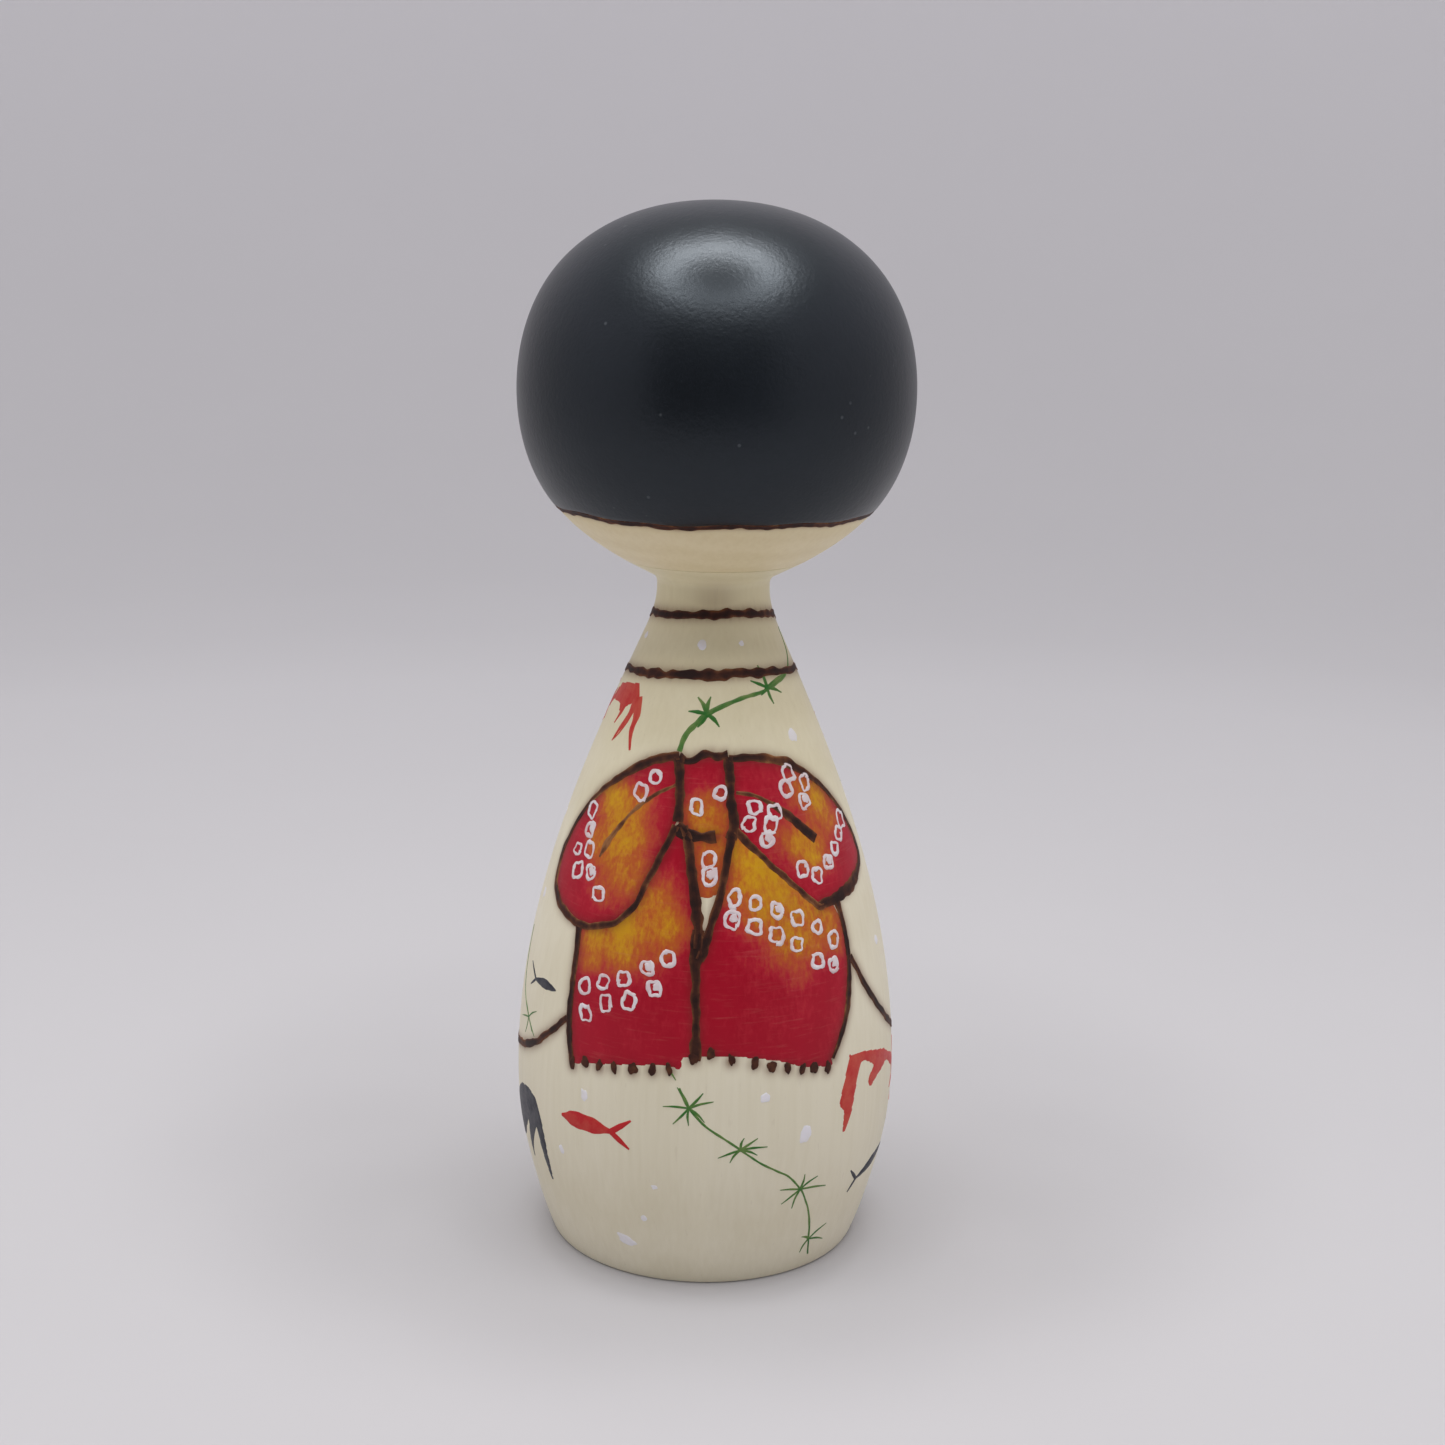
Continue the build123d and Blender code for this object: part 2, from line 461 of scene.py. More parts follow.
def wood_material(name, pale, deep, lacquered=True, scorched=True, blushing=False):
    """Close-grained pale wood: long fibres, faint growth rings, fine pores and turning marks."""
    m = Shader(name, 0.5, coat=0.08 if lacquered else 0.0, coat_roughness=0.3, specular=0.3)
    fibres = m.noise((1500, 1500, 60), detail=4)
    cloud = m.noise((70, 70, 22), detail=3)
    rings = m.node("TexWave", {"Vector": m.coords((1, 1, 0.12), (0.05, 0.03, 0)), "Scale": 95.0,
                               "Distortion": 5.0, "Detail": 2.0, "Detail Scale": 0.6},
                   wave_type="RINGS", rings_direction="Z").outputs["Fac"]
    grain = m.math("ADD", m.math("MULTIPLY", fibres, 0.45),
                   m.math("ADD", m.math("MULTIPLY", cloud, 0.4), m.math("MULTIPLY", rings, 0.15)))
    tint = m.mix(m.spread(grain, 0.34, 0.66), deep, pale)
    height = m.node("SeparateXYZ", {0: m.node("TexCoord").outputs["Object"]}).outputs["Z"]
    tint = m.mix(m.spread(height, 0.050, 0.085), tint, m.mix(1.0, tint, AGED, "MULTIPLY"))
    pores = m.spread(m.noise((2600, 2600, 400), detail=1), 0.70, 0.78, 0.0, 0.07)
    tint = m.mix(pores, tint, linear(150, 120, 80))
    if blushing:
        tint = m.mix(m.math("MULTIPLY", m.value("blush"), 0.55), tint, BLUSH)
    if scorched:
        # Scorch beside the burned lines and, on the body, painted shade at the nape under the head
        soot_and_shade = m.math("MULTIPLY", m.value("scorch"), m.spread(fibres, 0.3, 0.7, 0.6, 0.9))
        tint = m.mix(soot_and_shade, tint, SCORCH_AND_SHADE_BROWN)
    m.colour(tint)
    m.roughness(m.spread(m.noise((500, 500, 300)), 0.3, 0.7, 0.42, 0.56))
    turning = m.noise((30, 30, 4200), detail=2)
    m.bump(m.math("ADD", turning, m.math("MULTIPLY", fibres, 0.8)), 0.000006)
    return m.material


def burned_material():
    """Charred grooves: near black in the middle, brown at the edges, broken along the line."""
    m = Shader("burned_line", 0.6, coat=0.05, coat_roughness=0.35, specular=0.2)
    grit = m.noise((900, 900, 900), detail=3)
    char = m.math("ADD", m.value("tone"), m.spread(grit, 0.3, 0.7, -0.22, 0.22))
    m.colour(m.ramp(char, (0.0, linear(150, 100, 60)), (0.35, linear(100, 58, 34)),
                    (0.7, linear(64, 32, 22)), (1.0, linear(40, 20, 16))))
    m.bump(grit, 0.00004)
    return m.material


def paint_material(name, colour, thin, streak=(500, 500, 500), cover=0.35, roughness=0.45):
    """Brushed paint: thinner and paler where the brush left less of it."""
    m = Shader(name, roughness, coat=0.05, coat_roughness=0.3, specular=0.2)
    body = m.noise(streak, detail=4, roughness=0.6)
    fine = m.noise((2400, 2400, 2400), detail=2)
    share = m.math("MULTIPLY", m.spread(body, 0.62, 0.38), cover)
    share = m.math("ADD", share, m.math("MULTIPLY", m.math("SUBTRACT", 1.0, m.value("tone")), 0.6),
                   clamp=True)
    m.colour(m.mix(share, colour, thin))
    m.roughness(m.spread(fine, 0.3, 0.7, roughness - 0.06, roughness + 0.08))
    m.bump(m.math("ADD", body, m.math("MULTIPLY", fine, 0.5)), 0.00002)
    return m.material


def sash_material():
    """Crimson that fades through orange to gold, put on with a nearly dry brush."""
    m = Shader("sash_crimson_to_gold", 0.45, coat=0.05, coat_roughness=0.3, specular=0.2)
    streaks = m.noise((1700, 1700, 800), detail=4, roughness=0.65)
    cross = m.noise((260, 260, 3000), detail=3, roughness=0.6)
    cloud = m.noise((260, 260, 260), detail=3)
    tone = m.math("ADD", m.value("tone"), m.spread(streaks, 0.3, 0.7, -0.16, 0.16))
    tone = m.math("ADD", tone, m.spread(cloud, 0.3, 0.7, -0.13, 0.13))
    tint = m.ramp(tone, (0.0, linear(174, 6, 38)), (0.2, linear(184, 28, 48)),
                  (0.42, linear(190, 66, 50)), (0.68, linear(196, 100, 38)),
                  (1.0, linear(214, 158, 22)))
    tint = m.mix(m.spread(cross, 0.56, 0.80, 0.0, 0.12), tint, linear(222, 150, 130))
    wash = m.noise((170, 170, 60), detail=3)
    rosy = m.mix(1.0, tint, linear(225, 190, 205), "MULTIPLY")
    tint = m.mix(m.spread(wash, 0.35, 0.65, 0.35, 0.0), tint, rosy)
    tint = m.mix(m.math("MULTIPLY", m.value("scorch"), 0.6), tint, linear(80, 30, 20))
    m.colour(tint)
    m.roughness(m.spread(streaks, 0.3, 0.7, 0.38, 0.52))
    m.bump(m.math("ADD", streaks, m.math("MULTIPLY", cross, 0.6)), 0.00002)
    return m.material


def hair_material():
    """Satin black lacquer with a fine orange peel and a few specks of dust under it."""
    m = Shader("hair_lacquer", 0.36, specular=0.48)
    cloud = m.noise((45, 45, 45), detail=3)
    tint = m.mix(m.spread(cloud, 0.35, 0.65), linear(10, 13, 17), linear(17, 21, 26))
    specks = m.node("TexVoronoi", {"Vector": m.coords((420, 420, 420)), "Scale": 1.0},
                    feature="F1").outputs["Distance"]
    gate = m.spread(m.noise((130, 130, 130), detail=0), 0.56, 0.64)
    dust = m.math("MULTIPLY", m.spread(specks, 0.11, 0.05), gate)
    m.colour(m.mix(m.math("MULTIPLY", dust, 0.35), tint, linear(100, 105, 108)))
    peel = m.noise((900, 900, 900), detail=2)
    m.roughness(m.spread(cloud, 0.3, 0.7, 0.30, 0.37))
    m.bump(m.math("ADD", peel, m.noise((2300, 2300, 2300), detail=2)), 0.000024)
    m.bsdf.inputs["Specular Tint"].default_value = (0.80, 0.90, 1.0, 1)
    return m.material


WOOD = wood_material("lacquered_dogwood", linear(240, 232, 207), linear(232, 223, 195))
HEAD_WOOD = wood_material("lacquered_dogwood_head", linear(243, 231, 204), linear(234, 220, 188),
                          blushing=True)
PEG_WOOD = wood_material("sanded_peg_wood", linear(214, 190, 146), linear(190, 160, 112),
                         lacquered=False, scorched=False)
BURNED = burned_material()
SASH = sash_material()
HAIR = hair_material()
WHITE = paint_material("white_paint", linear(236, 230, 232), linear(206, 150, 150), cover=0.25)
BUBBLE = paint_material("bubble_white", linear(244, 241, 246), linear(230, 222, 208), cover=0.35)
GREEN = paint_material("weed_green", linear(50, 112, 44), linear(132, 152, 86), cover=0.5)
RED = paint_material("fish_red", linear(196, 36, 40), linear(214, 110, 84))
BLACK = paint_material("fish_black", linear(34, 36, 50), linear(110, 108, 110))
PINK = paint_material("lip_red", linear(192, 52, 56), linear(214, 120, 104))

# ---------------------------------------------------------------------------
# Burned lines: hairline, collars, sash bow, sleeves
# ---------------------------------------------------------------------------
HAIRLINE = 97.8
FRINGE = 113.6
WINDOW = 42.0                       # degrees from the middle of the face to the side locks


def hair_edge(angle):
    """Height of the lower edge of the hair: round the nape, and up over the face."""
    off = abs((angle % 360) - 180)
    lift = 1 / (1 + math.exp((off - WINDOW) / 0.9))
    wave = 0.14 * math.sin(math.radians(angle * 5)) + 0.09 * math.sin(math.radians(angle * 13 + 40))
    return HAIRLINE + wave + lift * (FRINGE - HAIRLINE + 1.2 * math.cos(math.radians(off * 2)))


def burn(drawing, path, width=0.85, knobble=0.3, wobble=0.12, closed=False, seed=0.0, tone=(0.35, 1)):
    """A line drawn with the hot pen, which also scorches the wood beside it when its darkest tone is above
    0.8.
    """
    path = drawing.surface.smooth(path, closed)
    drawing.stroke(path, width, closed, BURN, tone, knobble, wobble, seed)
    if max(tone) > 0.8:
        burned[drawing.surface] += [tuple(q) for q in drawing.surface.points(path[::2])]


LEFT_LOOP = [(-15, 68), (-29, 67.2), (-40, 65.4), (-54, 62.4), (-64, 58.5), (-69, 54.5),
             (-69.5, 51.7), (-67.5, 49.6), (-62, 47.9), (-54, 46.8), (-46, 46.3), (-38, 46.8),
             (-31, 48), (-25, 50.4), (-21, 53.9), (-17, 57), (-13, 60)]
RIGHT_LOOP = [(9.5, 68), (23, 67.9), (38, 67), (50, 65.2), (62, 62.3), (71, 59), (76, 55.5),
              (76, 53), (68, 51.3)]
RIGHT_CUFF = [(68, 51.3), (60, 50.4), (49, 49.7), (41.5, 49.6)]
RIGHT_SLANT = [(44, 49.3), (41.5, 49.6), (34, 52), (25, 55), (17, 57.6), (11, 59.6)]
KNOT_LEFT = [(-15, 68), (-13.5, 65.5), (-12.5, 63), (-12.5, 60.5)]
KNOT_RIGHT = [(9, 68.1), (9.5, 65.5), (9.5, 63), (10.5, 60.5), (9, 58.6)]
KNOT_TOP = [(-15, 68), (-10, 67.7), (-5, 68.1), (0, 68.4), (4, 68.2), (9, 68.3)]
KNOT_BAR = [(-13, 60), (-10, 59.2), (-5, 58.9), (0, 58.8), (3, 58.9)]
V_LEFT = [(-10, 60), (-7.7, 58.3), (-6, 55.4), (-4, 51.5), (-2.8, 48.3), (-2.5, 45.8)]
V_RIGHT = [(9.3, 59), (6.8, 55.5), (4.3, 51.5), (1.6, 48.7), (-0.7, 45.6), (-2, 44.4)]
SEAM = [(-2.8, 48), (-3.2, 44.6), (-3, 41), (-2.6, 37.3), (-2.4, 33.5), (-2.8, 32.2)]
LEFT_SIDE = [(-46.8, 46.2), (-45.7, 42.5), (-45.4, 38.6), (-45, 35.1), (-44, 32), (-42.3, 29.2)]
RIGHT_SIDE = [(51, 49.4), (52.2, 46), (52, 42.1), (50.2, 38.4), (48, 35.5), (44.5, 32.7),
              (41, 30.4)]
HEM_LEFT = [(-41.5, 28.9), (-31, 29.9), (-21, 30.6), (-12, 31.1), (-6.5, 30.8), (-5.8, 32.2),
            (-2.6, 32.4)]
HEM_RIGHT = [(-2.6, 32.5), (9, 32.4), (21, 31.5), (30, 30.2), (40.5, 29.4)]
HEM_DOTS = [(-42, 28.8), (-37, 29.6), (-32, 29.6), (-27, 29.9), (-21, 30.1), (-15, 30.4),
            (-10, 30.7), (-3, 32.2), (2, 32.9), (8, 32), (15, 31.5), (20, 30.8), (25, 30.4),
            (30, 29.9), (34, 29.7), (39, 29.3)]

COLLAR_TOP = [(-95, 83.4), (-75, 83.9), (-43, 84.3), (-12, 84.6), (33, 84.7), (75, 84.0), (95, 83.3)]
COLLAR_LOW = [(-110, 75.6), (-81, 76.5), (-50, 77), (-15, 77.5), (24, 77.7), (60, 77.3), (89, 76.7),
              (110, 75.7)]
# The wearer's left collar (-X) crosses over the right one on the front, down to the sash
CROSS_TOP = [(-95, 83.4), (-125, 81), (-150, 77.6), (-172, 73.2), (-190, 69), (-198, 66.6)]
CROSS_LOW = [(-110, 75.6), (-132, 74), (-150, 71.6), (-164, 68.8), (-171, 66.6)]
UNDER_TOP = [(95, 83.3), (125, 81), (150, 77.6), (170, 73.6)]
UNDER_LOW = [(110, 75.7), (132, 74), (150, 71.6), (162, 69.2), (166, 68)]

SLEEVE_LEFT = [(-46, 34.5), (-50, 32.9), (-56, 30.8), (-64, 28.6), (-76, 26.8), (-92, 25.6),
               (-112, 26.2), (-132, 30), (-148, 37), (-160, 44), (-170, 47.5)]
SLEEVE_RIGHT = [(53, 42.3), (56, 40.2), (60, 37.5), (66, 34.6), (76, 31), (92, 27.8), (112, 26.8),
                (132, 30), (148, 37), (160, 44), (170, 47.5)]
ARM_LEFT = [(-128, 72.5), (-136, 68), (-146, 62.5), (-158, 57.5), (-170, 54.6)]
ARM_RIGHT = [(128, 72.5), (136, 68), (146, 62.5), (158, 57.5), (170, 54.6)]
CUFF_LEFT = [(-170, 54.6), (-172.5, 51), (-170, 47.5)]
CUFF_RIGHT = [(170, 54.6), (172.5, 51), (170, 47.5)]
ROBE_EDGE = [(-171, 47), (-174, 38), (-178, 28), (-183, 16), (-187, 5)]
BAND_TOP = [(-147, 66.6), (-160, 66.4), (-180, 66.2), (-200, 66.4), (-213, 66.6)]
BAND_LOW = [(-168, 54.4), (-180, 54.0), (-192, 54.4)]

lines = Drawing(BODY, thick=0.05, above=0.05)
# Each line with its widths in mm, knobble, wobble and tone
BOW_LINES = [
    (LEFT_LOOP, (1.1, 1.4, 1.0, 0.75, 0.8, 1.1, 1.4, 1.1, 0.9, 0.9, 1.0, 1.2), 0.18, 0.12, (0.2, 0.9)),
    (RIGHT_LOOP, (1.0, 1.2, 1.4, 0.9, 0.75, 0.8, 1.0, 1.4), 0.18, 0.12, (0.2, 0.9)),
    (RIGHT_CUFF, (1.6, 1.9, 1.7, 1.2), 0.25, 0.12, (0.35, 1)),
    (RIGHT_SLANT, (1.0, 0.85, 0.9, 1.2), 0.2, 0.12, (0.15, 0.75)),
    (KNOT_LEFT, (1.6, 1.4, 1.3, 1.6), 0.2, 0.05, (0.35, 1)),
    (KNOT_RIGHT, (1.6, 1.3, 1.4, 1.5), 0.2, 0.05, (0.35, 1)),
    (KNOT_TOP, 1.2, 0.5, 0.35, (0.35, 1)),
    (KNOT_BAR, (2.0, 1.6, 1.4, 1.6), 0.3, 0.12, (0.35, 1)),
    (V_LEFT, (1.4, 1.4, 1.35, 1.5, 1.4), 0.2, 0.05, (0.35, 1)),
    (V_RIGHT, (1.2, 1.0, 1.1, 1.3), 0.2, 0.05, (0.35, 1)),
    (SEAM, (1.9, 1.5, 1.2, 1.2, 1.7), 0.25, 0.12, (0.35, 1)),
    (LEFT_SIDE, (1.4, 1.1, 1.1, 1.2, 0.9), 0.2, 0.05, (0.35, 1)),
    (RIGHT_SIDE, (1.2, 1.0, 1.0, 1.1, 0.9, 0.6), 0.2, 0.05, (0.35, 1)),
    (COLLAR_TOP, 1.1, 0.32, 0.2, (0.35, 1)),
    (COLLAR_LOW, (1.2, 0.9, 1.3, 1.4, 1.2, 1.0, 1.2), 0.32, 0.18, (0.35, 1))]
ROBE_LINES = [CROSS_TOP, CROSS_LOW, UNDER_TOP, UNDER_LOW, SLEEVE_LEFT, SLEEVE_RIGHT, ARM_LEFT,
              ARM_RIGHT, CUFF_LEFT, CUFF_RIGHT, ROBE_EDGE, BAND_TOP, BAND_LOW]
ROBE_WIDTHS = (0.9, 1.1, 0.95, 1.1, 1.0, 0.9)
for seed, (path, widths, knobble, wobble, tone) in enumerate(BOW_LINES, 1):
    burn(lines, path, widths, knobble, wobble, seed=seed, tone=tone)
for seed, path in enumerate(ROBE_LINES, 1 + len(BOW_LINES)):
    burn(lines, path, ROBE_WIDTHS, 0.16, 0.1, seed=seed)
for k, (angle, height) in enumerate(HEM_DOTS):
    wide, tilt = 1.1 + 0.25 * math.sin(k * 1.9), 14 * math.sin(k * 2.3)
    lines.disc((angle, height + 0.2), wide, 1.7, tilt, uneven=0.3, tone=0.65, seed=k)
burned[BODY] += [tuple(q) for q in BODY.points(HEM_DOTS)]

folds = Drawing(BODY, thick=0.03, above=0.06)
folds.line([(-15, 64.7), (-24, 63.3), (-33, 61), (-39, 58.4)], (0.5, 0.7, 0.7),
           tone=(0, 0.3), knobble=0.3, seed=31)
folds.line([(-39, 58.4), (-42, 56.8), (-44.3, 54.8)], (0.7, 1.2, 1.0, 0.4),
           tone=(0, 0.45), knobble=0.3, seed=32)
folds.line([(12, 64), (20.5, 63.5), (28.5, 62.2)], (0.5, 0.6, 0.9),
           tone=(0, 0.4), knobble=0.3, seed=33)
folds.line([(28, 62.3), (35, 60.7), (41.5, 58.8), (46.4, 57.4)], (1.0, 1.4, 1.5, 1.5),
           section=BURN, tone=(0.3, 1), knobble=0.2, seed=34)

hairline = Drawing(HEAD, thick=0.05, above=0.05)
edge_angles = np.concatenate([np.arange(-137, 137, 3.0), np.arange(137, 146, 0.6),
                              np.arange(146, 214, 3.0), np.arange(214, 223.4, 0.6)])
burn(hairline, [(a, hair_edge(a) - 0.25) for a in edge_angles], 0.9, 0.35, 0.12, seed=40)

# ---------------------------------------------------------------------------
# The sash: the bow on the back and the band on the front
# ---------------------------------------------------------------------------
def glow(surface, *spots):
    """A tone that is gold at the spots, (angle, height, reach in mm, strength), and fades off."""
    def tone_at(angle, height):
        r = float(surface.shape(height)[0])
        dark = 1.0
        for a, z, reach, strength in spots:
            away = math.hypot(math.radians(angle - a) * r, height - z)
            dark *= 1 - strength * math.exp(-((away / reach) ** 2))
        return 1 - dark
    return tone_at


def outline(*runs):
    """One closed outline from smooth runs, each starting where the last one ended."""
    parts = [BODY.smooth(run, step=0.4) for run in runs]
    return np.vstack([part[:-1] for part in parts])


def cornered(start, *runs):
    """A closed outline with a corner wherever one smooth run ends and the next begins."""
    joined = []
    for run in runs:
        joined.append([start, *run])
        start = run[-1]
    return outline(*joined)


def even(tone):
    """The same tone all over a patch."""
    return lambda angle, height: tone


sash = Drawing(BODY, thick=0.05)
sash.patch(outline(LEFT_LOOP, [(-13, 60), *KNOT_LEFT[::-1]]),
           glow(BODY, (-43, 61.5, 3.0, 0.85), (-34, 58.2, 3.8, 0.95), (-31, 62.2, 2.4, 0.55),
                (-48, 63, 2.6, 0.5), (-29, 53, 3.2, 0.6), (-40, 51, 2.6, 0.45), (-41, 55.5, 2.8, 0.7),
                (-50, 57, 2.2, 0.4)))
sash.patch(outline(RIGHT_LOOP, RIGHT_CUFF, [(41.5, 49.6), *RIGHT_SLANT[2:]],
                   [(11, 59.6), *KNOT_RIGHT[:-1][::-1], (9.5, 68)]),
           glow(BODY, (53, 61.2, 2.8, 0.85), (57, 64, 2.4, 0.6), (44, 63.6, 2.8, 0.55),
                (37, 57.4, 3.0, 0.75), (46, 55.6, 2.8, 0.8), (60, 58.4, 2.2, 0.45), (28, 59, 2.2, 0.3)))
sash.patch(outline(KNOT_TOP, [(9, 68.3), *KNOT_RIGHT[1:]], [(9, 58.6), *KNOT_BAR[::-1]],
                   [(-13, 60), *KNOT_LEFT[::-1]]),
           glow(BODY, (-4, 60.6, 2.8, 0.75), (4, 60.8, 2.8, 0.75), (0, 63, 2.2, 0.35)))
sash.patch(cornered((-9, 59.5), [(9, 59.2)], [(6.8, 55.5), (4.7, 52.2)],
                    [(0.3, 51.6), (-4.2, 52)], [(-6, 55.4), (-9, 59.5)]), even(0.62))
sash.patch(outline(LEFT_LOOP[10:], [(-13, 60), *V_LEFT[1:5]], [V_LEFT[4], *SEAM[1:]],
                   [SEAM[-1], *HEM_LEFT[:-1][::-1]], [HEM_LEFT[0], *LEFT_SIDE[:-1][::-1], (-46, 46.3)]),
           glow(BODY, (-20, 51.4, 2.6, 0.5), (-29, 47.3, 3.8, 0.95), (-17, 49, 3.0, 0.65),
                (-37, 45.5, 3.2, 0.85), (-40, 42.8, 2.4, 0.6), (-27, 43.6, 2.6, 0.6), (-14, 52.6, 2.2, 0.4),
                (-10, 47.6, 2.8, 0.6), (-15, 43.8, 2.4, 0.35)))
sash.patch(outline([*RIGHT_SLANT[:0:-1], (49, 49.7)], [(49, 49.7), *RIGHT_SIDE[1:]],
                   [RIGHT_SIDE[-1], *HEM_RIGHT[::-1]], [HEM_RIGHT[0], *SEAM[2:5][::-1], V_RIGHT[-1]],
                   [*V_RIGHT[::-1], RIGHT_SLANT[-1]]),
           glow(BODY, (13, 57, 3.0, 0.95), (20, 54.4, 3.4, 0.95), (28, 52, 3.4, 0.9), (37, 49.6, 3.0, 0.8),
                (46, 47.6, 2.8, 0.8), (18, 49.6, 3.0, 0.65), (29, 47.2, 3.2, 0.8), (38, 45, 2.8, 0.6),
                (9, 52, 2.6, 0.6), (24, 44.6, 2.4, 0.4), (31, 42, 2.4, 0.35), (47, 44, 2.2, 0.45)))
BAND_RIGHT = [(-221, 66.6), (-214, 62.5), (-202, 57.5), (-192, 54.4)]
BAND_LEFT = [(-168, 54.4), (-158, 57.5), (-146, 62.5), (-139, 66.6)]
sash.patch(outline(BAND_TOP, BAND_RIGHT, [(-192, 54.4), (-180, 54), (-168, 54.4)], BAND_LEFT),
           glow(BODY, (-158, 62, 3.6, 0.9), (-200, 60, 3.4, 0.85), (-180, 56.5, 2.6, 0.6),
                (-212, 65, 2.6, 0.5)))

# Shibori: rings of white paint, one by one
RINGS = [(-25, 65.3), (-31, 63.4), (-56, 59.8), (-53.5, 57.6), (-58, 54.7), (-50.5, 55.2),
         (-54.5, 52.3), (-47, 52.7), (-41, 50.6),
         (-5, 62.3), (5, 64), (0.5, 56.3), (0.5, 54.4),
         (39, 65.6), (48, 64.1), (36.5, 63.8), (45, 62.1), (20, 62.2), (28.5, 61.4), (16.5, 60.3),
         (26, 59.9), (23.5, 58.4), (67, 58.4), (62, 57), (56.5, 55.6), (50.5, 54.3), (37, 54.3),
         (43.5, 53.1),
         (9.5, 51.7), (17, 51), (24.5, 49.9), (32, 48.6), (39.5, 47.1), (46, 45), (8.5, 49.2),
         (16, 48.3), (23.5, 47), (30.5, 45.6), (38, 43.1), (44.5, 42),
         (-40, 39.1), (-33, 40.3), (-26, 41.3), (-18.5, 43), (-12, 44.4), (-38.5, 35.9),
         (-31.5, 37.7), (-23.5, 38.6), (-15.5, 40.6),
         (-151, 63.6), (-156, 61.2), (-160, 64), (-165, 61.6), (-169, 57.4), (-176, 56.3),
         (-188, 63.8), (-196, 64), (-192, 61.8), (-205, 62.3), (-200, 57.8)]
rings = Drawing(BODY, thick=0.06, above=0.045)
chance = random.Random(4)
for k, place in enumerate(RINGS):
    size = chance.uniform(0.70, 0.86)
    start = chance.uniform(0, 2 * math.pi)
    lean = chance.uniform(-0.35, 0.35)
    tall = chance.uniform(0.95, 1.3)
    path = []
    for i in range(11):
        a = start + 2 * math.pi * i / 9.6
        square = 1 / max(abs(math.cos(a)), abs(math.sin(a))) ** 0.7
        reach = size * square * chance.uniform(0.82, 1.16)
        path.append(BODY.shift(place, reach * math.cos(a + lean), tall * reach * math.sin(a + lean)))
    rings.stroke(BODY.smooth(path, step=0.2), [chance.uniform(0.30, 0.74) for _ in range(7)],
                 tone=(0.75, chance.uniform(0.8, 1.0)), knobble=0.3, seed=100 + k, pitch=0.45)
    if k % 9 in (3, 7):
        rings.disc(BODY.shift(place, 0.25, 0.2), 1.2, 1.3, uneven=0.35, tone=0.8, seed=k)

# ---------------------------------------------------------------------------
# Waterweed, goldfish and bubbles on the kimono
# ---------------------------------------------------------------------------
weed = Drawing(BODY, thick=0.035, above=0.01)


def whorl(centre, tips, width=0.34):
    """Leaves of waterweed that spread from one point of the stem."""
    weed.disc(centre, 1.9 * width, 1.7 * width, uneven=0.25, seed=centre[0])
    for k, tip in enumerate(tips):
        middle = ((centre[0] + tip[0]) / 2, (centre[1] + tip[1]) / 2)
        bend = BODY.shift([middle], 0.15 * (-1) ** k, 0.1)[0]
        weed.line([centre, tuple(bend), tip], (width, width * 1.15, width * 0.35),
                  tone=(0.6, 1), knobble=0.15, seed=200 + k)


def spray(centre, count, length, turn, width=0.3):
    """A whorl with its leaves evenly round the stem."""
    tips = []
    for k in range(count):
        a = math.radians(turn + 360 * k / count + 9 * math.sin(k * 2.1))
        reach = length * (0.8 + 0.2 * math.cos(k * 1.7))
        tips.append(tuple(BODY.shift(centre, reach * math.cos(a), reach * math.sin(a))))
    whorl(centre, tips, width)


def stem(path, width, seed):
    weed.line(path, width, tone=(0.55, 1), knobble=0.2, wobble=0.05, seed=seed)


stem([(-15.5, 68.6), (-14, 70), (-10, 71.4), (-2, 73), (7, 74), (20, 74.9), (36, 75.4), (48, 76.1),
      (60, 76.8), (70, 77.8), (80, 79.6), (86, 82)],
     (0.75, 0.85, 0.8, 0.7, 0.55, 0.5, 0.45, 0.35, 0.25), 50)
whorl((-2, 73.1), [(-8, 75), (-13, 73.3), (-7, 71.5), (0, 75.1), (5, 71.6), (12, 74.2)], 0.58)
whorl((39, 75.8), [(35, 78.5), (27, 76.8), (33, 75), (41, 73.8), (50, 74.9), (58, 76.9)], 0.5)
stem([(-10.5, 31), (-9, 30.2), (-8, 29.5)], (0.3, 0.35, 0.15), 51)
stem([(-7, 28.5), (-6, 27.6), (-4, 26), (1, 23.6), (6, 22), (11, 20.4), (18, 18), (26, 15.9),
      (31, 13.5), (35, 10.5), (37.5, 7.7), (39, 4.9), (41, 2.2)],
     (0.4, 0.36, 0.32, 0.3, 0.32, 0.35, 0.3), 52)
whorl((-4, 26), [(-7.5, 28.6), (-11.5, 26), (-8.5, 23.8), (-4, 23.7), (0.5, 24.2), (3, 26.9), (0, 28)])
whorl((11, 20.4), [(16, 21.8), (19, 20.5), (16, 19.5), (8, 18.7), (4.5, 19.4), (12, 22)])
whorl((31, 13.5), [(32, 15.6), (37, 14.8), (41, 12.9), (24, 14), (25, 11.8), (29, 10.8)])
whorl((39, 4.9), [(35.5, 5.6), (46, 6.4), (46.5, 3.9), (36.5, 3)])
stem([(-83, 42), (-82, 38.5), (-79, 35.2), (-75, 33.2), (-69, 31.4), (-65, 30)],
     (0.15, 0.25, 0.22, 0.2), 53)
whorl((-69, 31.4), [(-75, 33.1), (-63, 33), (-71, 29), (-63, 29.6), (-77, 30.4)], 0.24)
GUESSED_WEEDS = [([(104, 3), (107, 9), (103, 15), (108, 20), (112, 23.5)], (10, 15, 20)),
               ([(-118, 2), (-122, 8), (-118, 14), (-124, 20)], (8, 14)),
               ([(146, 3), (142, 10), (147, 17), (141, 24), (144, 31)], (9, 16, 23)),
               ([(-98, 44), (-104, 49), (-100, 55), (-106, 60)], (49, 55)),
               ([(98, 50), (104, 55), (101, 61), (108, 66)], (55, 61))]
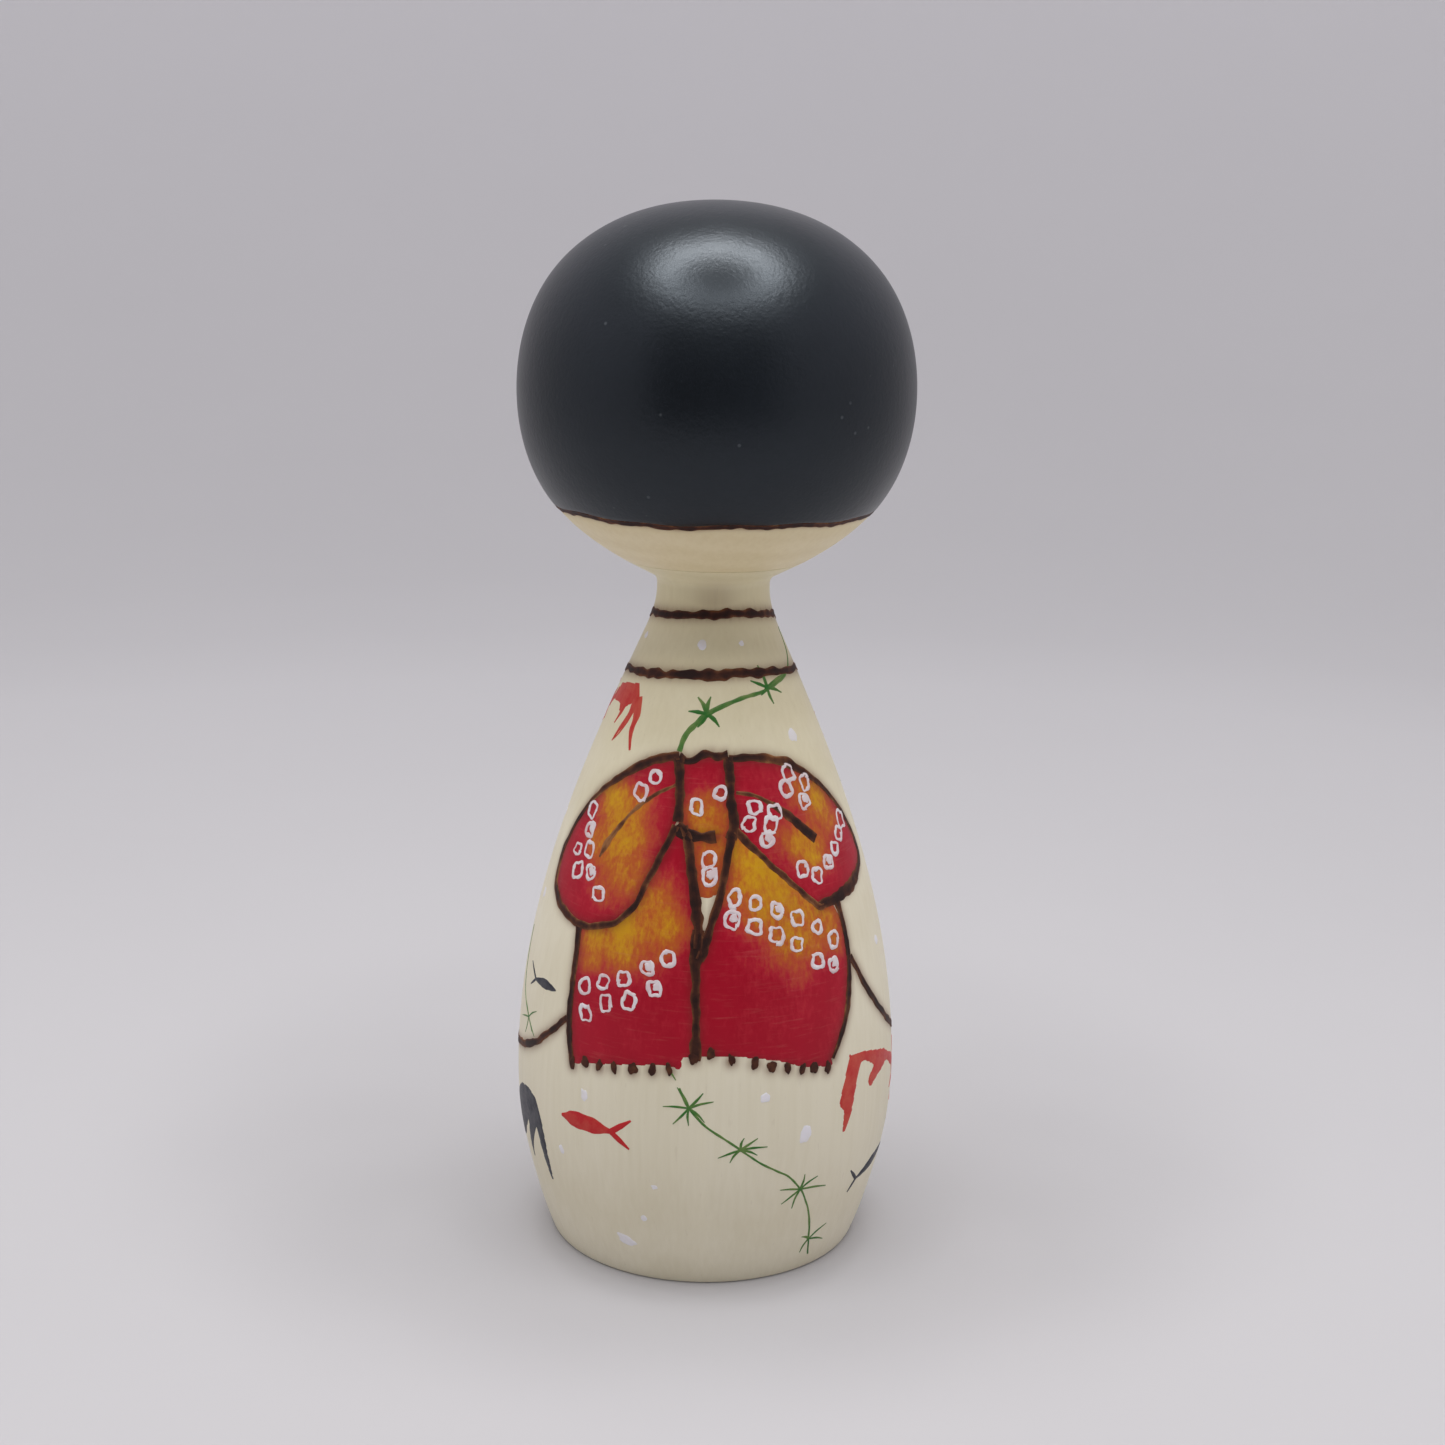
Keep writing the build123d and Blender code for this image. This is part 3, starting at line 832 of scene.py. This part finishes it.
for k, (path, heights) in enumerate(GUESSED_WEEDS):
    stem(path, (0.45, 0.38, 0.3, 0.2), 54 + k)
    line = BODY.smooth(path)
    for j, height in enumerate(heights):
        centre = line[int(np.argmin(np.abs(line[:, 1] - height)))]
        spray(tuple(centre), 7, 2.3, 20 + 31 * j + 17 * k)

red_fish = Drawing(BODY, thick=0.04, above=0.01)
black_fish = Drawing(BODY, thick=0.04, above=0.01)
whites = Drawing(BODY, thick=0.03, above=0.06)


def placed(place, heading, points, size):
    """Points of a unit fish, nose along +x, put at a place and turned to its heading."""
    c, s = math.cos(math.radians(heading)), math.sin(math.radians(heading))
    return [tuple(BODY.shift(place, size * (c * x - s * y), size * (s * x + c * y))) for x, y in points]


FISH_BODY = [(0.5, 0), (0.40, 0.15), (0.17, 0.22), (-0.1, 0.17), (-0.36, 0.05), (-0.36, -0.05),
             (-0.1, -0.17), (0.17, -0.22), (0.40, -0.15)]
FISH_TAIL = [[(-0.32, 0.02), (-0.52, 0.14), (-0.80, 0.42)],
             [(-0.34, 0.02), (-0.62, 0.1), (-1.0, 0.16)],
             [(-0.34, -0.02), (-0.62, -0.1), (-0.98, -0.14)],
             [(-0.32, -0.02), (-0.52, -0.14), (-0.76, -0.44)]]
FISH_FINS = [[(0.16, side * 0.17), (0.05, side * 0.32), (-0.12, side * 0.42)] for side in (1, -1)]
FISH_FINS += [[(-0.14, side * 0.12), (-0.25, side * 0.2), (-0.34, side * 0.3)] for side in (1, -1)]


def goldfish(drawing, place, heading, size, tail=True, seed=0):
    """A goldfish seen from above, in brush strokes."""
    shape = BODY.smooth(placed(place, heading, FISH_BODY, size), closed=True, step=0.4)
    drawing.patch(shape[:-1], even(1.0), cell=0.6)
    for k, run in enumerate((FISH_TAIL if tail else []) + FISH_FINS):
        wide = size * (0.15 if k < 4 and tail else 0.09)
        drawing.line(placed(place, heading, run, size), (wide * 0.5, wide, wide * 0.15),
                     tone=(0.7, 1), knobble=0.25, seed=seed + k)
    for side in (0.12, -0.12):
        eye = placed(place, heading, [(0.33, side)], size)[0]
        whites.disc(eye, 0.09 * size, 0.09 * size, seed=seed)


def fishlet(drawing, nose, root, tips, width, seed):
    """A small fish: one stroke for the body and two for the tail."""
    middle = ((nose[0] + root[0]) / 2, (nose[1] + root[1]) / 2 + 0.15)
    widths = [width * w for w in (0.15, 0.7, 1, 0.95, 0.6, 0.25)]
    drawing.line([nose, middle, root], widths, knobble=0.12, seed=seed)
    for tip in tips:
        drawing.line([root, tip], (0.3 * width, 0.3 * width, 0.1 * width), seed=seed)


red_fish.patch(cornered((-79, 74.8), [(-66, 75.4), (-53, 75.7)], [(-48, 74), (-47.5, 72)],
                        [(-52, 73), (-56, 72.6)], [(-62, 71.8), (-66, 70.6)],
                        [(-68, 72.4), (-80, 72.2)], [(-81, 73.5), (-79, 74.8)]), even(0.85))
for path, widths in (([(-50, 74), (-46.5, 72), (-46.8, 70), (-43.8, 67.8)], (1.7, 1.3, 0.9, 0.35)),
                     ([(-51, 73.5), (-53, 71.6), (-57, 69.8), (-60, 68.2)], (1.5, 0.8, 0.7, 0.2)),
                     ([(-50, 73), (-52.3, 71), (-55.8, 69.4), (-59, 68.4)], (0.8, 0.4, 0.3, 0.1)),
                     ([(-60, 73), (-62, 71.5), (-64.5, 70.2)], (1.0, 0.7, 0.2)),
                     ([(-78, 73.5), (-82, 72.8), (-88, 72)], (2.4, 1.0, 1.5))):
    red_fish.stroke(BODY.smooth(path, step=0.4), widths, tone=(0.6, 1), knobble=0.15, seed=path[0][0])
goldfish(red_fish, (-97, 71.8), 176, 7.5, tail=False, seed=60)
red_fish.patch(cornered((48, 30.2), [(58, 29.5), (72, 27.8)],
                        [(71, 25.8), (64, 25), (59, 23.9)], [(57.5, 25.5), (61, 26.9)],
                        [(54.5, 28.2), (51.5, 25.5), (49.5, 22.3), (46, 19)],
                        [(45, 20), (45.3, 22.8)], [(43.2, 23.8), (45, 26.6), (48, 30.2)]), even(0.85))
red_fish.line([(66, 27.3), (73, 26.4), (81, 24.6)], (2.4, 1.3, 1.9), knobble=0.2, seed=69)
goldfish(red_fish, (90, 22.2), -28, 11.5, tail=False, seed=70)
black_fish.patch(cornered((-84, 18.8), [(-74, 21.6), (-66, 22.3)],
                          [(-60, 21.5), (-56.5, 18.6), (-55, 15), (-54.2, 8.8)],
                          [(-57.5, 12.2), (-61, 17.2)], [(-65.5, 14.2), (-68, 10.4)],
                          [(-69, 14), (-68, 17)], [(-75, 13.8), (-82, 12.5)],
                          [(-84, 15.5), (-84, 18.8)]), even(0.9))
black_fish.line([(-79, 17), (-84, 17), (-91, 16.9)], (4.0, 1.9, 2.6), knobble=0.2, seed=79)
goldfish(black_fish, (-98, 16.8), 172, 12.5, tail=False, seed=80)
fishlet(red_fish, (-46, 21.6), (-27.5, 21.5), [(-21, 23.5), (-21.5, 19.6), (-23.5, 22.6)], 2.9, 90)
fishlet(black_fish, (-53, 37.1), (-67, 36.8), [(-73, 38.4), (-71, 35.6)], 1.5, 91)
fishlet(black_fish, (79, 12.9), (57, 11.5), [(52.5, 13.4), (53.5, 10)], 2.0, 92)
goldfish(red_fish, (152, 19.5), 112, 10.5, seed=93)
fishlet(red_fish, (-112, 38), (-126, 36.6), [(-131, 38), (-130, 35)], 1.9, 94)
fishlet(black_fish, (-152, 15), (-164, 17.4), [(-169, 19.6), (-169, 16.4)], 1.7, 95)
fishlet(red_fish, (118, 44), (104, 42.6), [(99, 44.2), (99.5, 40.8)], 1.9, 96)
fishlet(black_fish, (-104, 66), (-117, 64.6), [(-123, 66), (-121, 62.6)], 1.2, 97)
fishlet(red_fish, (118, 70.4), (103, 69), [(96, 70.4), (97, 67.2)], 1.3, 98)
fishlet(red_fish, (208, 31), (195, 33), [(190, 35.4), (190.5, 31.4)], 1.8, 99)

BUBBLES = [(-8, 81.1, 1.0, 1.1, 0), (25, 81.2, 0.6, 0.6, 0), (49, 69.8, 1.3, 1.6, 20),
           (-37, 25.4, 0.9, 1.5, 10), (18, 27, 1.2, 1.2, 0), (31, 21.2, 1.5, 2.2, -12),
           (-47, 16.6, 0.8, 1.1, 15), (-14, 14.8, 0.7, 0.6, 0), (-18, 9.8, 0.7, 0.8, 0),
           (-25, 5.8, 2.3, 1.3, -28), (74, 42, 1.1, 1.2, 0), (96, 38, 1.3, 1.5, 10),
           (83, 16, 0.9, 1.0, 0), (120, 15, 1.4, 1.5, 0), (132, 37, 1.1, 1.2, 0),
           (128, 8, 1.0, 1.0, 0), (155, 30, 1.1, 1.4, 10), (176, 10, 1.3, 1.3, 0),
           (-166, 26, 1.2, 1.4, 0), (-140, 9, 1.5, 1.4, 0), (-134, 21, 1.0, 1.1, 0),
           (-92, 34, 1.0, 1.1, 0), (-78, 47, 1.1, 1.2, 0), (-88, 57, 1.0, 1.1, 0),
           (-116, 52, 1.2, 1.3, 0), (118, 60, 1.1, 1.2, 0), (92, 72, 0.9, 1.0, 0),
           (-72, 81, 0.8, 0.9, 0), (-118, 78.6, 0.9, 0.9, 0), (122, 78.4, 0.9, 0.9, 0)]
bubbles = Drawing(BODY, thick=0.03, above=0.01)
for k, (angle, height, wide, tall, tilt) in enumerate(BUBBLES):
    bubbles.disc((angle, height), 1.2 * wide, 1.2 * tall, tilt, uneven=0.3, tone=0.95, seed=300 + k)

# Under collar and the cord round the sash, on the front only
trim = Drawing(BODY, thick=0.04, above=0.015)
trim.line([(-100, 84.1), (-128, 82.3), (-152, 79), (-172, 75), (-180, 73.2)],
          (0.3, 1.1, 1.3, 1.3, 0.9), tone=(0.8, 1), knobble=0.1, seed=110)
trim.line([(100, 84.1), (128, 82.3), (152, 79), (170, 75.6)], (0.3, 1.1, 1.3, 1.3),
          tone=(0.8, 1), knobble=0.1, seed=111)
cord = Drawing(BODY, thick=0.10, above=0.05)
cord.line([(-152.5, 60.3), (-166, 60.1), (-180, 60), (-194, 60.1), (-207.5, 60.3)], 1.25,
          tone=(0.7, 1), knobble=0.12, seed=112, pitch=0.6)
cord.disc((-180, 60), 2.7, 2.3, uneven=0.15, seed=113)
for tip in ((-185, 56.6), (-175.5, 56.3)):
    cord.line([(-180, 60), ((-180 + tip[0]) / 2, 58), tip], (0.8, 0.7, 0.9), knobble=0.2, seed=114)

# ---------------------------------------------------------------------------
# Face and hair
# ---------------------------------------------------------------------------
face_black = Drawing(HEAD, thick=0.04, above=0.01)
face_white = Drawing(HEAD, thick=0.03, above=0.07)
face_red = Drawing(HEAD, thick=0.04, above=0.01)
FRONT = 180
for side in (-1, 1):
    def at(off, height):
        """A place on this side of the face."""
        return (FRONT + side * off, height)
    lid = [at(7.6, 106.9), at(11, 108.2), at(16, 108.7), at(20.5, 107.8), at(23.6, 106.3)]
    brow = [at(6.8, 111.1), at(12, 112.1), at(17, 112), at(21.5, 110.9)]
    face_black.line(lid, (0.2, 0.5, 0.75, 0.8, 0.55, 0.2), knobble=0.06, seed=120)
    face_black.disc(at(15, 107.5), 2.3, 2.2, uneven=0.03, seed=121)
    face_black.line([at(10.5, 106.2), at(15, 105.8), at(19.5, 106.1)], (0.1, 0.2, 0.12), seed=122)
    face_black.line(brow, (0.2, 0.45, 0.42, 0.15), seed=123)
    face_white.disc(at(14, 108), 0.55, 0.6, seed=124)
face_red.line([(178.7, 103.7), (180, 103.3), (181.3, 103.7)], (0.15, 0.3, 0.15),
              tone=(0.4, 0.7), seed=125)
face_red.line([(177.3, 100.9), (178.8, 101.25), (180, 101), (181.2, 101.25), (182.7, 100.9)],
              (0.15, 0.75, 0.6, 0.75, 0.15), seed=126)
face_red.disc((180, 100.5), 1.7, 0.85, seed=127)

fringe = Drawing(HEAD, thick=0.06, above=0.06)
chance = random.Random(9)
STRANDS, FRINGE_SPREAD = 62, 82     # how many, and over how many degrees
for k in range(STRANDS):
    share = (k + chance.uniform(-0.3, 0.3)) / (STRANDS - 1)
    angle = FRONT - FRINGE_SPREAD / 2 + FRINGE_SPREAD * share
    top = hair_edge(angle)
    tip = (angle + chance.uniform(-0.4, 0.4), top - chance.uniform(0.2, 0.75))
    fringe.line([(angle, top + 1.2), tip], (0.9, 0.75, 0.12), seed=130 + k)


def hair_piece():
    """The lacquered hair: a skin from the crown down to the hairline and round the face."""
    thick, rows, rim = 0.11, 118, 0.14
    down = np.array(HEAD.outline[::-1])
    run = np.concatenate([[0], np.cumsum(np.hypot(*np.diff(down, axis=0).T))])
    heights = down[:, 1]
    angles = np.concatenate([np.arange(-134, 134, 1.25), np.arange(134, 142, 0.4),
                             np.arange(142, 218, 1.25), np.arange(218, 226, 0.4)])
    places, lifts = [(0, HEAD_TOP), (0, HEAD_TOP)], [thick, 2 * SUNK]
    for angle in angles:
        end = np.interp(-hair_edge(angle), -heights, run)
        for share in np.arange(1, rows + 1) / rows:
            places.append((angle, np.interp(share * (end - rim), run, heights)))
            lifts.append(thick)
        for past, lift in ((0.6, 0.75 * thick), (1, SUNK), (1, 2 * SUNK)):
            places.append((angle, np.interp(end - rim + past * rim, run, heights)))
            lifts.append(lift)
        for share in np.arange(rows, 0, -1) / rows:
            places.append((angle, np.interp(share * (end - rim), run, heights)))
            lifts.append(2 * SUNK)
    m, n = 2 * rows + 3, len(angles)
    faces = []
    for k in range(n):
        a, b = 2 + k * m, 2 + (k + 1) % n * m
        faces.append((0, a, b))
        faces += [(a + i, a + i + 1, b + i + 1, b + i) for i in range(m - 1)]
        faces.append((a + m - 1, 1, b + m - 1))
    points = HEAD.points(np.array(places), np.array(lifts))
    return mesh_piece("hair_lacquer_skin", points, faces, HAIR, "head", "hair_black")


# ---------------------------------------------------------------------------
# Pieces
# ---------------------------------------------------------------------------
def near(surface, points, reach, place):
    """1 at a place, fading to 0 over that reach in mm."""
    centre = surface.points(np.array([place]))[0]
    return np.exp(-((np.linalg.norm(np.array(points) - centre, axis=1) / (reach * MM)) ** 2))


SEGMENTS = 300
CHEEKS, BLUSH_REACH = [(FRONT - 25, 102.8), (FRONT + 25, 102.8)], 3.4
bore = PEG_RADIUS + BORE_CLEARANCE
body_section = [(0, 0), *BODY.outline, (bore, BODY_TOP), (bore, PEG_BOTTOM - BORE_END_ROOM),
                (0, PEG_BOTTOM - BORE_END_ROOM)]
points, faces = turned(body_section, SEGMENTS)
# A brown haze on the back of the neck just under the head is painted shade. It is kept in one value with
# the scorch beside the burned lines.
nape_painted_shade = 0.4 * near(BODY, points, 2.6, (2, 86.4))
body_piece = mesh_piece("turned_body", points, faces, WOOD, "body", "bare_wood",
                        scorch=np.maximum(scorch_of(BODY, points), nape_painted_shade))
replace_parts(body_piece, "body")

head_section = [(0, PEG_TOP + BORE_END_ROOM), (PEG_RADIUS, PEG_TOP + BORE_END_ROOM),
                (PEG_RADIUS, BODY_TOP), *HEAD.outline]
points, faces = turned(head_section, SEGMENTS)
blush = sum(near(HEAD, points, BLUSH_REACH, cheek) for cheek in CHEEKS)
head_piece = mesh_piece("turned_head", points, faces, HEAD_WOOD, "head", "bare_wood",
                        scorch=scorch_of(HEAD, points, 0.6), blush=blush)
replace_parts(head_piece, "head")

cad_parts["neck_peg"].data.materials.clear()
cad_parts["neck_peg"].data.materials.append(PEG_WOOD)

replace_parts(hair_piece(), "hair_lacquer")
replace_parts(sash.piece("sash_paint", SASH, "body", "sash_red", scorched=True), "sash_bow_paint")
lines.piece("burned_lines", BURNED, "body", "burned_line")
folds.piece("burned_folds", BURNED, "body", "burned_line")
hairline.piece("burned_hairline", BURNED, "head", "burned_line")
rings.piece("shibori_rings", WHITE, "body", "paint_white")
weed.piece("waterweed", GREEN, "body", "paint_green")
red_fish.piece("red_goldfish", RED, "body", "paint_red")
black_fish.piece("black_goldfish", BLACK, "body", "paint_black")
whites.piece("goldfish_eyes", WHITE, "body", "paint_white")
bubbles.piece("bubbles", BUBBLE, "body", "paint_white")
trim.piece("under_collar", RED, "body", "paint_red")
cord.piece("sash_cord", GREEN, "body", "paint_green")
face_black.piece("eyes_and_brows", BLACK, "head", "paint_black")
face_white.piece("eye_lights", WHITE, "head", "paint_white")
face_red.piece("nose_and_lips", PINK, "head", "paint_red")
fringe.piece("fringe_strokes", HAIR, "head", "hair_black")

# ---------------------------------------------------------------------------
# Stage, lights and camera
# ---------------------------------------------------------------------------
def backdrop():
    """A pale sweep: a floor that curves up into a wall all round, like a light tent."""
    flat, wall, height = 0.42, 1.05, 1.15
    section = [(0, 0), (0.2, 0), (flat, 0)]
    section += [(flat + (wall - flat) * math.sin(a), (wall - flat) * (1 - math.cos(a)))
                for a in np.radians(np.arange(6, 91, 6))]
    section.append((wall, height))
    points, faces = turned([(r / MM, z / MM) for r, z in section], 96)
    m = Shader("backdrop_paper", 0.9, specular=0.1)
    place = m.node("TexCoord").outputs["Object"]
    away = m.node("VectorMath", {0: place}, operation="LENGTH").outputs["Value"]
    height = m.node("SeparateXYZ", {0: place}).outputs["Z"]
    paper = m.mix(m.noise((9, 9, 9)), linear(184, 182, 184), linear(188, 186, 188))
    # Painted light: the sweep is paler higher up and glows, more so away from the doll and higher up. This
    # stands in for the lit walls of a light tent.
    m.colour(m.mix(m.spread(height, 0.0, 0.5), paper, linear(240, 238, 241)))
    m.bsdf.inputs["Emission Color"].default_value = linear(250, 247, 252)
    m.put(m.bsdf.inputs["Emission Strength"],
          m.math("ADD", m.spread(away, 0.06, 0.34, 0.035, 0.145),
                 m.spread(height, 0.25, 0.8, 0.0, 0.07)))
    mesh = bpy.data.meshes.new("backdrop")
    mesh.from_pydata([tuple(q) for q in points], [], [tuple(reversed(f)) for f in faces])
    mesh.shade_smooth()
    mesh.materials.append(m.material)
    sweep = bpy.data.objects.new("backdrop", mesh)
    sweep.location.z = -0.00005
    bpy.context.scene.collection.objects.link(sweep)


def lamp(name, place, size, watts):
    """A round soft lamp that shines straight down and isn't seen by the camera."""
    light = bpy.data.lights.new(name, "AREA")
    light.shape, light.size, light.energy = "DISK", size, watts
    made = bpy.data.objects.new(name, light)
    made.visible_camera = False
    made.location = place
    bpy.context.scene.collection.objects.link(made)


def dark_card(name, place, wide, tall):
    """A grey card behind the camera, which dims the light and the reflections from that side."""
    x, y, z = place
    mesh = bpy.data.meshes.new(name)
    left, right = x - wide / 2, x + wide / 2
    corners = [(left, y, z), (right, y, z), (right, y, z + tall), (left, y, z + tall)]
    mesh.from_pydata(corners, [], [(0, 1, 2, 3)])
    m = Shader(name, 0.95, specular=0.0)
    m.colour(m.mix(m.noise((20, 20, 20)), linear(112, 114, 118), linear(122, 124, 128)))
    mesh.materials.append(m.material)
    card = bpy.data.objects.new(name, mesh)
    card.visible_camera = card.visible_shadow = False
    bpy.context.scene.collection.objects.link(card)


backdrop()
dark_card("dark_card", (0, -0.42, 0.0), 0.64, 0.5)
RING_LAMPS, LAMP_SIZE, LAMP_WATTS = 12, 0.08, 0.22
RING_RADIUS, RING_HEIGHT, RING_FORWARD = 0.168, 0.50, 0.112
for k in range(RING_LAMPS):
    a = 2 * math.pi * k / RING_LAMPS
    x, y = RING_RADIUS * math.sin(a), RING_RADIUS * math.cos(a) - RING_FORWARD
    lamp(f"ring_{k}", (x, y, RING_HEIGHT), LAMP_SIZE, LAMP_WATTS * (1 + 0.4 * math.cos(a)))

world = bpy.data.worlds.new("soft_room")
world.use_nodes = True
world.node_tree.nodes["Background"].inputs["Color"].default_value = (0.92, 0.92, 0.95, 1)
world.node_tree.nodes["Background"].inputs["Strength"].default_value = 0.34
bpy.context.scene.world = world
bpy.context.scene.view_settings.view_transform = "Standard"

CAMERA_AT = (1.5, -280, 136.8)      # mm
TILT, ROLL, LENS = 13.6, 1.1, 55.3
camera = bpy.data.objects.new("camera", bpy.data.cameras.new("camera"))
camera.data.lens, camera.data.sensor_width = LENS, 36
camera.data.clip_start, camera.data.clip_end = 0.01, 20
camera.matrix_world = (Matrix.Translation([c * MM for c in CAMERA_AT])
                       @ Matrix.Rotation(math.radians(90 - TILT), 4, "X")
                       @ Matrix.Rotation(math.radians(ROLL), 4, "Z"))
bpy.context.scene.collection.objects.link(camera)
bpy.context.scene.camera = camera
